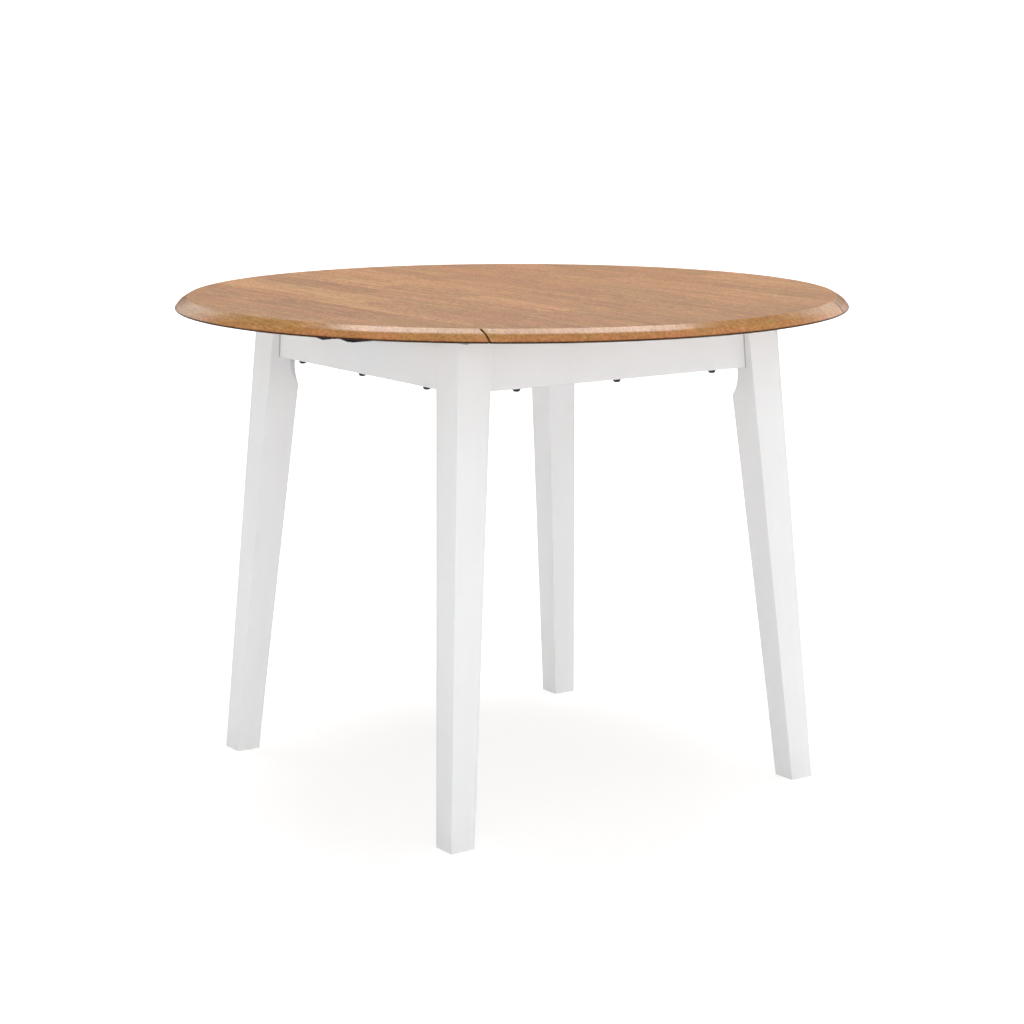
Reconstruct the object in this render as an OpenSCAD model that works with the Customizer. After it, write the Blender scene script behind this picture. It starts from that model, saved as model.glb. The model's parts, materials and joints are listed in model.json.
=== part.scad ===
// Round drop-leaf table: a fixed centre panel between two half-moon leaves,
// on four splayed square legs joined by aprons.
// Origin: floor level under the middle of the top. +Z is up, and the two
// seams run along Y, at -X (left leaf) and +X (right leaf).

/* [Top] */
// Diameter of the round top with both leaves up
top_d = 1060; // [1000:5:1160]
// Height of the top face above the floor
table_h = 770; // [720:1:800]
// Thickness of the panels
top_t = 19; // [18:0.5:24]
// Overhang of the centre panel past a leg's outer face, up to the seam
seam_overhang = 29; // [26:0.5:34]
// Gap between the centre panel and a leaf
seam_gap = 0.8; // [0.6:0.1:1.4]
// Width of the bevel round the top edge
bevel_run = 12; // [8:0.5:16]
// Depth of the bevel
bevel_drop = 7.5; // [5:0.5:9]
// Width of the steeper nose outside the bevel
nose_run = 7; // [5:0.5:9]
// Radius of the round under the edge
under_r = 2; // [1.5:0.5:4]

/* [Legs] */
// From the middle to a leg's outer face at the floor
leg_foot_out = 345.5; // [330:0.5:365]
// From the middle to a leg's outer face under the top
leg_top_out = 295.5; // [285:0.5:315]
// Side of a leg at the floor
leg_foot_w = 41; // [34:0.5:46]
// Side of a leg under the top
leg_top_w = 59.5; // [54:0.5:66]
// Side of the flat sawn along a leg's inner corner
corner_flat = 20.5; // [14:0.5:22]
// Drop from the apron to the start of the flat's curved run-out
flat_below_apron = 4; // [2:1:10]
// Length of the curved run-out
runout_len = 44; // [30:1:60]

/* [Aprons] */
// Height of an apron
apron_h = 89; // [80:1:110]
// Thickness of an apron
apron_t = 20; // [18:1:23]
// Step from a leg's outer face back to the apron, under the top
apron_inset = 10; // [7:0.5:13]

/* [Top bolts] */
// Diameter of the bolts that hold the top
top_bolt_d = 6; // [5:0.5:7]
// Diameter of their domed heads
top_bolt_head_d = 12; // [10:0.5:14]
// Height of their domed heads
top_bolt_head_h = 5; // [2:0.5:6]
// Reach of the bolts into the top
top_bolt_bite = 12; // [8:0.5:13]
// Distance of an apron's end bolts from the legs, along the apron
top_bolt_end = 53; // [50:1:90]
// Distance of the bolts behind an apron's outer face
top_bolt_in = 8; // [7.5:0.5:11]
// Outside diameter of the threaded inserts in the top
insert_d = 9; // [8:0.5:11]

/* [Corner brackets] */
// Thickness of the pressed plate
bracket_t = 2.5; // [2:0.5:3]
// Height of the plate
bracket_h = 64; // [58:1:72]
// Distance from a leg's inner face to the bend, along an apron
bracket_gap = 33; // [30:1:40]
// Length of the flange on an apron
bracket_flange = 28; // [24:1:36]
// Diameter of the hanger bolts
hanger_d = 6; // [5:0.5:8]
// Depth of the hanger bolts in the leg
hanger_bite = 36; // [28:1:40]
// Distance between the two hanger bolts of a corner
hanger_pitch = 36; // [30:1:42]
// Diameter of the washers
washer_d = 16; // [14:0.5:20]
// Thickness of the washers
washer_t = 1.5; // [1:0.25:2]
// Thickness of the nuts
nut_t = 5; // [4:0.5:7]

/* [Hinges] */
// Length of a hinge
hinge_len = 60; // [50:1:70]
// Thickness of the hinge plates
plate_t = 2; // [1.5:0.25:2.5]
// Outside diameter of the knuckles
knuckle_d = 7; // [6:0.25:8]
// Diameter of the hinge pins
hinge_pin_d = 3; // [2.5:0.25:4]
// Distance of the inner pair of hinges from the middle
inner_hinge_y = 112; // [100:1:180]
// Distance of the outer pair of hinges past the legs
outer_hinge_clear = 6; // [4:1:16]

/* [Leaf supports] */
// Length that a support arm reaches under its leaf
arm_reach = 115; // [80:1:150]
// Width of an arm
arm_w = 50; // [44:1:60]
// Thickness of an arm's steel
arm_t = 3; // [2:0.5:4]
// Thickness of an arm's tip
arm_tip = 6; // [5:0.5:8]
// Depth of an arm's heels below its pivot pin
heel_drop = 16; // [13:0.5:16.5]
// Reach past the seam of the heel on an arm's outer side
outer_heel_reach = 3; // [0:1:8]
// Reach past the seam of the heel on an arm's inner side
inner_heel_reach = 20; // [12:1:30]
// Diameter of the pivot pin
arm_pin_d = 8; // [6:0.5:9]
// Depth of the support bracket below the top
support_depth = 34.5; // [30:0.5:37]
// Distance of a bracket's outer cheek from the table's middle line
support_y = 47; // [40:1:60]

/* [Screws] */
// Diameter of the countersunk and pan-head wood screws
screw_d = 3.5; // [3:0.25:4]
// Diameter of their heads
screw_head_d = 7; // [6.5:0.25:8]
// Reach of the screws into the wood
screw_bite = 13; // [10:0.5:15]

/* [Hidden] */
$fn = 96;

// Clearances
fit_clear = 0.05;     // around pins, plates' screws and bolts, on the radius
pilot_clear = 0.15;   // around screws in wood, on the radius
bolt_clear = 0.3;     // around bolts in drilled wood and plate, on the radius
run_clear = 0.3;      // between pieces that pass each other
axial_clear = 0.4;    // between knuckles along the pin
cut = 1;              // how far cutting shapes run past what they cut

// Turns about Z that place a shape made at the right or back right
right_side = 0;
back_side = 90;
left_side = 180;
front_side = 270;
SIDES = [right_side, back_side, left_side, front_side];
back_right = 0;
back_left = 90;
front_left = 180;
front_right = 270;
CORNERS = [back_right, back_left, front_left, front_right];

// Heights and places
under_z = table_h - top_t;
apron_z = under_z - apron_h;
top_r = top_d / 2;
seam_x = leg_top_out + seam_overhang;
apron_out = leg_top_out - apron_inset;
apron_in = apron_out - apron_t;
leg_foot_in = leg_foot_out - leg_foot_w;
leg_top_in = leg_top_out - leg_top_w;
function leg_in_at(z) = leg_foot_in + (leg_top_in - leg_foot_in) * z / under_z;

// Edge of the top: the nose runs straight from the bevel's foot, and meets the
// round under the edge where the line from that foot touches it
bevel_foot = [top_r - nose_run, top_t - bevel_drop];
round_centre = [top_r - under_r, under_r];
foot_from_centre = bevel_foot - round_centre;
touch_angle = atan2(foot_from_centre.y, foot_from_centre.x)
    - acos(under_r / norm(foot_from_centre));
nose_touch = round_centre + under_r * [cos(touch_angle), sin(touch_angle)];

// Flat on a leg's inner corner, in a frame that leans with that corner
flat_depth = corner_flat / sqrt(2);
flat_z = apron_z - flat_below_apron;
edge_tilt = atan((leg_foot_in - leg_top_in) * sqrt(2) / under_z);
runout_r = (runout_len * runout_len + flat_depth * flat_depth) / (2 * flat_depth);

// Corner brackets: all distances run along the corner's diagonal
bracket_z = under_z - (apron_h + bracket_h) / 2;
bend = leg_top_in - bracket_gap;
bracket_diag = (apron_in + bend) / sqrt(2);
hanger_zs = [for (side = [-1, 1]) bracket_z + bracket_h / 2 + side * hanger_pitch / 2];
function flat_diag(z) = leg_in_at(z) * sqrt(2) + flat_depth;
bracket_back = bracket_diag - bracket_t;
hanger_tail = bracket_back - washer_t - nut_t - 4;
nut_d = hanger_d * 1.92;
bracket_screw_in = bracket_flange / 2;
bracket_screw_pitch = bracket_h * 0.6;

// Hinges, with the pin just below the panels' underside
axis_drop = knuckle_d / 2 + run_clear;
plate_start = knuckle_d / 2 + run_clear + fit_clear;
plate_w = seam_overhang - 4;
leaf_knuckle = hinge_len * 0.4;
fixed_knuckle = (hinge_len - leaf_knuckle) / 2 - axial_clear;
hinge_ys = [-leg_top_out - outer_hinge_clear - hinge_len / 2, -inner_hinge_y,
    inner_hinge_y, leg_top_out + outer_hinge_clear + hinge_len / 2];
hinge_screw_pitch = hinge_len * 0.6;
hinge_screw_u = (plate_start + plate_w) / 2;

// Leaf supports: u is the distance outwards from the seam
gap_u = seam_x - apron_out;
pivot_u = -gap_u / 2;
pivot_drop = 18;
arm_top = pivot_drop - run_clear;
arm_root_r = min(13, gap_u / 2 - 4);
arm_neck = 2;
arm_web_u = 4;
heel_len = 12;
heel_ramp = [30, 12];
cheek_t = 3;
arm_y = support_y - cheek_t - run_clear - arm_w;
support_far_y = arm_y - run_clear - cheek_t;
support_screws_at = [for (share = [1, 3, 5]) [pivot_u, arm_y + arm_w * share / 6]];
rivet_head_d = arm_pin_d + 4;
rivet_head_h = 2;

// ---------- shared shapes ----------

// Places a shape made for the right or back-right at another turn about Z
module turned(angle) {
    rotate([0, 0, angle]) children();
}

// Moves to the seam of the right leaf: x is outwards, z = 0 is the underside
module at_seam() {
    translate([seam_x, 0, under_z]) children();
}

// Moves to the diagonal of the back-right corner: x runs outwards along it
module on_diagonal(z) {
    translate([0, 0, z]) rotate([0, 0, 45]) children();
}

// Half of the top's cross-section, from the middle to the shaped edge
module top_profile() {
    polygon([[0, 0], [round_centre.x, 0], round_centre, nose_touch, bevel_foot,
        bevel_foot + [-bevel_run, bevel_drop], [0, top_t]]);
    intersection() {
        translate(round_centre) circle(under_r);
        polygon([round_centre, [round_centre.x, 0], [top_r, 0], [top_r, under_r], nose_touch]);
    }
}

module round_top() {
    translate([0, 0, under_z]) rotate_extrude($fn = 360) top_profile();
}

// Screw hole that opens downwards at z = 0
module pilot_hole() {
    translate([0, 0, -cut]) cylinder(d = screw_d + 2 * pilot_clear, h = screw_bite + 2 * cut);
}

// Countersunk screw whose flat head fills the hole of a plate below z = 0
module countersunk_screw(clear = 0) {
    translate([0, 0, -plate_t])
        cylinder(d1 = screw_head_d + 2 * clear, d2 = screw_d + 2 * clear, h = plate_t);
    cylinder(d = screw_d + 2 * clear, h = screw_bite);
}

// Pan-head screw through a plate of this thickness below z = 0
module pan_screw(through) {
    intersection() {
        translate([0, 0, screw_head_d / 2 - through - screw_head_d * 0.35])
            sphere(d = screw_head_d);
        translate([0, 0, -through - screw_head_d / 2])
            cylinder(d = screw_head_d, h = screw_head_d / 2);
    }
    translate([0, 0, -through]) cylinder(d = screw_d, h = through + screw_bite);
}

// ---------- top ----------

module centre_panel() {
    color("tan") difference() {
        intersection() {
            round_top();
            translate([-seam_x + seam_gap / 2, -top_r, under_z - cut])
                cube([2 * seam_x - seam_gap, top_d, top_t + 2 * cut]);
        }
        insert_places() translate([0, 0, -cut])
            cylinder(d = insert_d + 2 * fit_clear, h = top_bolt_bite + 2 * cut);
        for (side = [left_side, right_side]) turned(side) at_seam() {
            hinge_screw_places(-1) pilot_hole();
            support_screw_places() pilot_hole();
        }
    }
}

// Half-moon leaf, made at the right
module leaf(side) {
    color("tan") difference() {
        intersection() {
            round_top();
            turned(side) translate([seam_x + seam_gap / 2, -top_r, under_z - cut])
                cube([top_r, top_d, top_t + 2 * cut]);
        }
        turned(side) at_seam() hinge_screw_places(1) pilot_hole();
    }
}

// ---------- frame ----------

// Wedge between a leg's outer and inner planes, as wide as the table
module leg_wedge() {
    translate([0, top_r, 0]) rotate([90, 0, 0]) linear_extrude(top_r)
        polygon([[leg_foot_in, 0], [leg_foot_out, 0],
            [leg_top_out, under_z], [leg_top_in, under_z]]);
}

// Cut that flattens a leg's inner corner behind the aprons
module corner_flat_cut() {
    translate([leg_in_at(flat_z), leg_in_at(flat_z), flat_z])
        rotate([0, 0, 45]) rotate([0, -edge_tilt, 0]) {
            translate([-leg_top_w, -leg_top_w, 0])
                cube([leg_top_w + flat_depth, 2 * leg_top_w, apron_h * 2]);
            translate([flat_depth - runout_r, 0, 0]) rotate([90, 0, 0])
                cylinder(r = runout_r, h = 2 * leg_top_w, center = true, $fn = 180);
        }
}

module leg(corner) {
    color("whitesmoke") turned(corner) difference() {
        intersection() {
            leg_wedge();
            mirror([1, -1, 0]) leg_wedge();
        }
        corner_flat_cut();
        for (z = hanger_zs) on_diagonal(z)
            translate([flat_diag(z) - leg_top_w / 4, 0, 0]) rotate([0, 90, 0])
                cylinder(r = hanger_d / 2 + fit_clear, h = leg_top_w / 4 + hanger_bite + cut);
    }
}

// Apron with ends that follow the legs, made at the right
module apron(side) {
    low_end = leg_in_at(apron_z);
    color("whitesmoke") turned(side) difference() {
        translate([apron_in, 0, 0]) rotate([90, 0, 90]) linear_extrude(apron_t)
            polygon([[-low_end, apron_z], [low_end, apron_z],
                [leg_top_in, under_z], [-leg_top_in, under_z]]);
        top_bolt_row() translate([0, 0, -cut])
            cylinder(r = top_bolt_d / 2 + bolt_clear, h = apron_h + 2 * cut);
        for (end = [-1, 1]) bracket_screw_places(end) pilot_hole();
    }
}

// ---------- bolts through the aprons into the top ----------

// The three bolt places of the right apron, at its lower edge
module top_bolt_row() {
    for (step = [-1, 0, 1])
        translate([apron_out - top_bolt_in, step * (leg_top_in - top_bolt_end), apron_z])
            children();
}

module insert_places() {
    for (side = SIDES) turned(side)
        top_bolt_row() translate([0, 0, apron_h]) children();
}

// Domed head below z = 0 and a plain shank above it
module top_bolt() {
    dome_r = (top_bolt_head_d * top_bolt_head_d / 4 + top_bolt_head_h * top_bolt_head_h)
        / (2 * top_bolt_head_h);
    intersection() {
        translate([0, 0, dome_r - top_bolt_head_h]) sphere(r = dome_r);
        translate([0, 0, -top_bolt_head_h])
            cylinder(d = top_bolt_head_d, h = top_bolt_head_h);
    }
    cylinder(d = top_bolt_d, h = apron_h + top_bolt_bite);
}

module top_bolts() {
    color("dimgray") for (side = SIDES) turned(side) top_bolt_row() top_bolt();
}

module threaded_inserts() {
    color("goldenrod") insert_places() difference() {
        cylinder(d = insert_d, h = top_bolt_bite);
        translate([0, 0, -cut])
            cylinder(r = top_bolt_d / 2 + fit_clear, h = top_bolt_bite + 2 * cut);
    }
}

// ---------- corner brackets ----------

// Screw places on the apron at the right, near its back (1) or front (-1) end
module bracket_screw_places(end) {
    for (step = [-1, 1])
        translate([apron_in, end * (bend - bracket_screw_in),
            bracket_z + bracket_h / 2 + step * bracket_screw_pitch / 2])
            rotate([0, 90, 0]) children();
}

// Both aprons' screw places of the back-right corner
module corner_screw_places() {
    bracket_screw_places(1) children();
    mirror([1, -1, 0]) bracket_screw_places(1) children();
}

module corner_bracket(corner) {
    skew = bracket_t / sqrt(2);
    color("silver") turned(corner) difference() {
        translate([0, 0, bracket_z]) linear_extrude(bracket_h) {
            polygon([[apron_in, bend], [bend, apron_in],
                [bend - skew, apron_in - skew], [apron_in - skew, bend - skew]]);
            translate([apron_in - bracket_t, bend - bracket_flange])
                square([bracket_t, bracket_flange]);
            translate([bend - bracket_flange, apron_in - bracket_t])
                square([bracket_flange, bracket_t]);
        }
        for (z = hanger_zs) on_diagonal(z)
            translate([bracket_diag - bracket_t - cut, 0, 0]) rotate([0, 90, 0])
                cylinder(r = hanger_d / 2 + bolt_clear, h = bracket_t + 2 * cut);
        corner_screw_places() translate([0, 0, -bracket_t - cut])
            cylinder(r = screw_d / 2 + fit_clear, h = bracket_t + 2 * cut);
    }
}

module corner_bracket_screws() {
    color("silver") for (corner = CORNERS) turned(corner)
        corner_screw_places() pan_screw(bracket_t);
}

// Moves to each hanger bolt, with z pointing outwards along the diagonal
module hanger_places(from) {
    for (corner = CORNERS) turned(corner)
        for (z = hanger_zs) on_diagonal(z)
            translate([from, 0, 0]) rotate([0, 90, 0]) children();
}

module hanger_bolts() {
    color("silver") for (corner = CORNERS) turned(corner)
        for (z = hanger_zs) on_diagonal(z) translate([hanger_tail, 0, 0]) rotate([0, 90, 0])
            cylinder(d = hanger_d, h = flat_diag(z) + hanger_bite - hanger_tail);
}

module hanger_washers() {
    color("silver") hanger_places(bracket_back - washer_t) difference() {
        cylinder(d = washer_d, h = washer_t);
        translate([0, 0, -cut])
            cylinder(r = hanger_d / 2 + bolt_clear, h = washer_t + 2 * cut);
    }
}

module hanger_nuts() {
    color("silver") hanger_places(bracket_back - washer_t - nut_t) difference() {
        cylinder(d = nut_d, h = nut_t, $fn = 6);
        translate([0, 0, -cut])
            cylinder(r = hanger_d / 2 + fit_clear, h = nut_t + 2 * cut);
    }
}

// ---------- hinges, made at the right seam ----------

// Screw places on the fixed plates (-1) or the leaf plates (1)
module hinge_screw_places(way) {
    for (y = hinge_ys, step = [-1, 1])
        translate([way * hinge_screw_u, y + step * hinge_screw_pitch / 2, 0]) children();
}

// Knuckle of this length and the tongue that joins it to its plate
module knuckle(way, y, length) {
    translate([0, y, -axis_drop]) rotate([-90, 0, 0]) cylinder(d = knuckle_d, h = length);
    translate([way > 0 ? seam_gap / 2 : -plate_start - cut, y, -plate_t])
        cube([plate_start + cut - seam_gap / 2, length, plate_t]);
}

module hinge_plate(way) {
    translate([way > 0 ? plate_start : -plate_w, -hinge_len / 2, -plate_t])
        cube([plate_w - plate_start, hinge_len, plate_t]);
    if (way > 0)
        knuckle(way, -leaf_knuckle / 2, leaf_knuckle);
    else for (y = [-hinge_len / 2, hinge_len / 2 - fixed_knuckle])
        knuckle(way, y, fixed_knuckle);
}

module hinge_plates(side, way) {
    color("silver") turned(side) at_seam() difference() {
        for (y = hinge_ys) translate([0, y, 0]) hinge_plate(way);
        for (y = hinge_ys)
            translate([0, y - hinge_len / 2 - cut, -axis_drop]) rotate([-90, 0, 0])
                cylinder(r = hinge_pin_d / 2 + fit_clear, h = hinge_len + 2 * cut);
        hinge_screw_places(way) {
            countersunk_screw(fit_clear);
            translate([0, 0, -plate_t - cut])
                cylinder(r = screw_head_d / 2 + fit_clear, h = cut);
        }
    }
}

module hinge_pins(side) {
    color("gray") turned(side) at_seam() for (y = hinge_ys)
        translate([0, y - hinge_len / 2, -axis_drop]) rotate([-90, 0, 0])
            cylinder(d = hinge_pin_d, h = hinge_len);
}

module hinge_screws(side, way) {
    color("silver") turned(side) at_seam() hinge_screw_places(way) countersunk_screw();
}

// ---------- leaf supports, made at the right seam ----------

module support_screw_places() {
    for (place = support_screws_at) translate([place[0], place[1], 0]) children();
}

module support_bracket(side) {
    color("black") turned(side) at_seam() difference() {
        union() {
            translate([-gap_u, support_far_y, -cheek_t])
                cube([gap_u - 1, support_y - support_far_y, cheek_t]);
            for (y = [support_far_y, support_y - cheek_t])
                translate([-gap_u, y, -support_depth])
                    cube([gap_u - 1, cheek_t, support_depth]);
        }
        translate([pivot_u, support_far_y - cut, -pivot_drop]) rotate([-90, 0, 0])
            cylinder(r = arm_pin_d / 2 + fit_clear, h = support_y - support_far_y + 2 * cut);
        support_screw_places() translate([0, 0, -cheek_t - cut])
            cylinder(r = screw_d / 2 + fit_clear, h = cheek_t + 2 * cut);
    }
}

// Side of an arm about its pin: a round root, a heel this far past the seam,
// a ramp up from it, and a long taper to the thin tip
module arm_side(heel_reach) {
    heel = [heel_reach - pivot_u, -heel_drop];
    circle(arm_root_r);
    polygon([[0, -arm_root_r], heel - [heel_len, 0], heel, heel + heel_ramp,
        [arm_reach - pivot_u, arm_top - arm_tip], [arm_reach - pivot_u, arm_top],
        [arm_web_u - pivot_u, arm_top],
        [arm_neck - pivot_u, arm_root_r], [0, arm_root_r]]);
}

module arm_flange(y, heel_reach) {
    translate([0, y + arm_t, 0]) rotate([90, 0, 0])
        linear_extrude(arm_t) arm_side(heel_reach);
}

module support_arm(side) {
    color("black") turned(side) at_seam() translate([pivot_u, 0, -pivot_drop])
        difference() {
            union() {
                arm_flange(arm_y, inner_heel_reach);
                arm_flange(arm_y + arm_w - arm_t, outer_heel_reach);
                translate([arm_web_u - pivot_u, arm_y, arm_top - arm_t])
                    cube([arm_reach - arm_web_u, arm_w, arm_t]);
            }
            translate([0, arm_y - cut, 0]) rotate([-90, 0, 0])
                cylinder(r = arm_pin_d / 2 + fit_clear, h = arm_w + 2 * cut);
        }
}

// Rivet through the two cheeks and the arm
module support_pin(side) {
    color("dimgray") turned(side) at_seam()
        translate([pivot_u, support_far_y - rivet_head_h, -pivot_drop])
        rotate([-90, 0, 0]) {
            cylinder(d = arm_pin_d, h = support_y - support_far_y + 2 * rivet_head_h);
            cylinder(d = rivet_head_d, h = rivet_head_h);
            translate([0, 0, support_y - support_far_y + rivet_head_h])
                cylinder(d = rivet_head_d, h = rivet_head_h);
        }
}

module support_screws(side) {
    color("dimgray") turned(side) at_seam() support_screw_places() pan_screw(cheek_t);
}

centre_panel();
leaf(left_side);  // left_leaf
leaf(right_side);  // right_leaf
leg(front_left);  // front_left_leg
leg(front_right);  // front_right_leg
leg(back_left);  // back_left_leg
leg(back_right);  // back_right_leg
apron(front_side);  // front_apron
apron(back_side);  // back_apron
apron(left_side);  // left_apron
apron(right_side);  // right_apron
corner_bracket(front_left);  // front_left_corner_bracket
corner_bracket(front_right);  // front_right_corner_bracket
corner_bracket(back_left);  // back_left_corner_bracket
corner_bracket(back_right);  // back_right_corner_bracket
corner_bracket_screws();
hanger_bolts();
hanger_washers();
hanger_nuts();
top_bolts();
threaded_inserts();
hinge_plates(left_side, -1);  // left_hinge_fixed_plates
hinge_plates(left_side, 1);  // left_hinge_leaf_plates
hinge_pins(left_side);  // left_hinge_pins
hinge_screws(left_side, -1);  // left_hinge_fixed_screws
hinge_screws(left_side, 1);  // left_hinge_leaf_screws
hinge_plates(right_side, -1);  // right_hinge_fixed_plates
hinge_plates(right_side, 1);  // right_hinge_leaf_plates
hinge_pins(right_side);  // right_hinge_pins
hinge_screws(right_side, -1);  // right_hinge_fixed_screws
hinge_screws(right_side, 1);  // right_hinge_leaf_screws
support_bracket(left_side);  // left_support_bracket
support_arm(left_side);  // left_support_arm
support_pin(left_side);  // left_support_pin
support_screws(left_side);  // left_support_screws
support_bracket(right_side);  // right_support_bracket
support_arm(right_side);  // right_support_arm
support_pin(right_side);  // right_support_pin
support_screws(right_side);  // right_support_screws
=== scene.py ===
# %% [markdown]
# # A round drop-leaf table
# The table is a round oak top on four white painted legs. Two straight seams cut the top
# into a fixed centre panel and two half-moon leaves, and each leaf swings down on hinges
# while a steel arm under it swings down with it. Every object here is in metres, with the
# floor at height 0, the seams along Y and the leaves at -X and +X. The measured solids
# come in first and nothing moves them: each finer piece below is built around them.

# %% Load the measured table
import json
import math
import bmesh
import bpy
import numpy as np
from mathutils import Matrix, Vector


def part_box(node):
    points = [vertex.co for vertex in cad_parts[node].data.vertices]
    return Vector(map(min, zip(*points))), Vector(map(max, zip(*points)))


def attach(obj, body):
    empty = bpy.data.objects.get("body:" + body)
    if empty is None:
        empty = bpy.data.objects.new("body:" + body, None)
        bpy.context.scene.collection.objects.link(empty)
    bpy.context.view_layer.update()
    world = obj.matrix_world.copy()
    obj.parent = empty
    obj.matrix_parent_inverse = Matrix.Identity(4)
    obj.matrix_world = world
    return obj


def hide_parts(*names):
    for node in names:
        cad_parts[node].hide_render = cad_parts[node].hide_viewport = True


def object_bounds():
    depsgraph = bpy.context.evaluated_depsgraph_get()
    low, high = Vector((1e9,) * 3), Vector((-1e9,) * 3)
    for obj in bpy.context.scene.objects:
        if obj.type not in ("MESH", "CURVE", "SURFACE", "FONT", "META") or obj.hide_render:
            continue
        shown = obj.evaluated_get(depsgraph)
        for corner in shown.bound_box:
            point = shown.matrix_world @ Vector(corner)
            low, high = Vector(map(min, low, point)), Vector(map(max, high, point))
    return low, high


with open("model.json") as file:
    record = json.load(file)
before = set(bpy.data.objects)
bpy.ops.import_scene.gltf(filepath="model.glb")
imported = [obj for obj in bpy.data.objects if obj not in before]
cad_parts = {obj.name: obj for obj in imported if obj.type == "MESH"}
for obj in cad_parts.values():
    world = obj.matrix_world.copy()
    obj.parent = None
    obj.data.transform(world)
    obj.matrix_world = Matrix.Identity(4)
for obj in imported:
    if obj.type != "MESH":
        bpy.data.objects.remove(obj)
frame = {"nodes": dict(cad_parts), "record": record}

scene = bpy.context.scene
lowest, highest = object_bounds()

# %% [markdown]
# ## Reading the sizes
# The solids already say how wide the top is and where the seams run, so those numbers are
# read from their boxes instead of being typed again. A change to the table then carries
# through to every surface made here. Only the legs' thickness is typed, because a leg
# leans, and its box can't tell how thick it is.

# %% Sizes of the top
TOP_RADIUS = min(highest.x, highest.y)
TOP_HEIGHT = highest.z
UNDER_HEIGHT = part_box("centre_panel")[0].z
PANEL_HALF_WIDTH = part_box("centre_panel")[1].x
LEAF_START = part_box("right_leaf")[0].x
print("top radius", round(TOP_RADIUS, 4), "panel", round(TOP_HEIGHT - UNDER_HEIGHT, 4), "thick")
print("seam gap", round(LEAF_START - PANEL_HALF_WIDTH, 5))

# %% Leg and apron planes
FOOT_SIDE = 0.041
HEAD_SIDE = 0.0595
leg_low, leg_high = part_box("back_right_leg")
FOOT_OUT = leg_high.x
HEAD_IN = leg_low.x
HEAD_OUT = HEAD_IN + HEAD_SIDE
FOOT_IN = FOOT_OUT - FOOT_SIDE
apron_low, apron_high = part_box("right_apron")
APRON_IN = apron_low.x
APRON_OUT = apron_high.x
APRON_LOW = apron_low.z
print("leg from", round(FOOT_OUT, 4), "at the floor to", round(HEAD_OUT, 4), "under the top")
print("apron from", round(APRON_IN, 4), "to", round(APRON_OUT, 4), "down to", round(APRON_LOW, 4))

# %% [markdown]
# ## Camera
# The table is seen from a little above the top, from beyond its front left corner, with a
# long lens, so its upright lines stay nearly parallel. A camera looks down its own -Z, and
# three directions at right angles make its rotation: to the right, up, and backwards.

# %% Camera
CAMERA_PLACE = np.array([-2.2274, -3.2402, 1.1599])
CAMERA_HEADING = 55.498
CAMERA_DIP = 10.721
CAMERA_ROLL = -0.067
CAMERA_LENS = 87.367
SENSOR_WIDTH = 36.0


def direction(heading, climb=0.0):
    """Unit vector: heading in degrees from +X towards +Y, and climb in degrees above level."""
    heading, climb = math.radians(heading), math.radians(climb)
    across = math.cos(climb)
    return np.array([math.cos(heading) * across, math.sin(heading) * across, math.sin(climb)])


def camera_axes():
    """Right, up and back of a camera that looks along its heading and down by its dip."""
    look = direction(CAMERA_HEADING, -CAMERA_DIP)
    right = np.cross(look, [0.0, 0.0, 1.0])
    right /= np.linalg.norm(right)
    up = np.cross(right, look)
    roll = math.radians(CAMERA_ROLL)
    turned_right = right * math.cos(roll) + up * math.sin(roll)
    turned_up = up * math.cos(roll) - right * math.sin(roll)
    return turned_right, turned_up, -look


def stand(thing, axes, place):
    """Places an object: its own X, Y and Z along the three axes, its origin at place."""
    pose = np.eye(4)
    pose[:3, :3] = np.stack(axes, axis=1)
    pose[:3, 3] = place
    thing.matrix_world = pose.T.tolist()


lens = bpy.data.cameras.new("camera")
lens.lens = CAMERA_LENS
lens.sensor_width = SENSOR_WIDTH
camera = bpy.data.objects.new("camera", lens)
scene.collection.objects.link(camera)
stand(camera, camera_axes(), CAMERA_PLACE)
scene.camera = camera
print("camera at", CAMERA_PLACE, "lens", CAMERA_LENS, "mm")

# %% [markdown]
# ## Wiring materials
# A finish is a graph of small nodes. The class below keeps the wiring short: each method
# adds one node, connects whatever is given to it, and hands back the socket to use next.

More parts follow.
